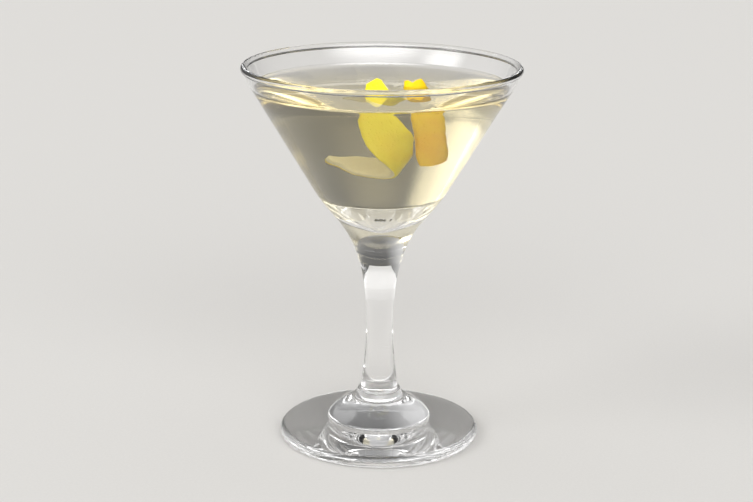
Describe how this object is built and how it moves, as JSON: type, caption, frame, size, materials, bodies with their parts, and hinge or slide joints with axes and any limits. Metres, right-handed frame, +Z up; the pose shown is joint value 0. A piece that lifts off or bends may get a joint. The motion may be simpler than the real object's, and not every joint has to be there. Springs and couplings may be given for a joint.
{
  "type": "martini cocktail",
  "caption": "Stemmed cone glass on a round foot, filled with a clear pale drink that holds a curled lemon twist and a strip of peel.",
  "frame": {"origin": "middle of the foot's underside, on the glass's axis", "axes": "+Z up the stem, -Y towards the front, where the long twist's yellow side shows, +X to the right, where the short strip stands"},
  "size_m": [0.111, 0.111, 0.154],
  "materials": {
    "clear_glass": "clear soda-lime glass, fire polished",
    "pale_drink": "clear pale straw liquid",
    "lemon_peel": "waxy dimpled yellow zest with a matt cream pith"
  },
  "bodies": {
    "root": {"glass": "clear_glass", "drink": "pale_drink", "lemon_twist": "lemon_peel", "lemon_strip": "lemon_peel"}
  },
  "joints": []
}
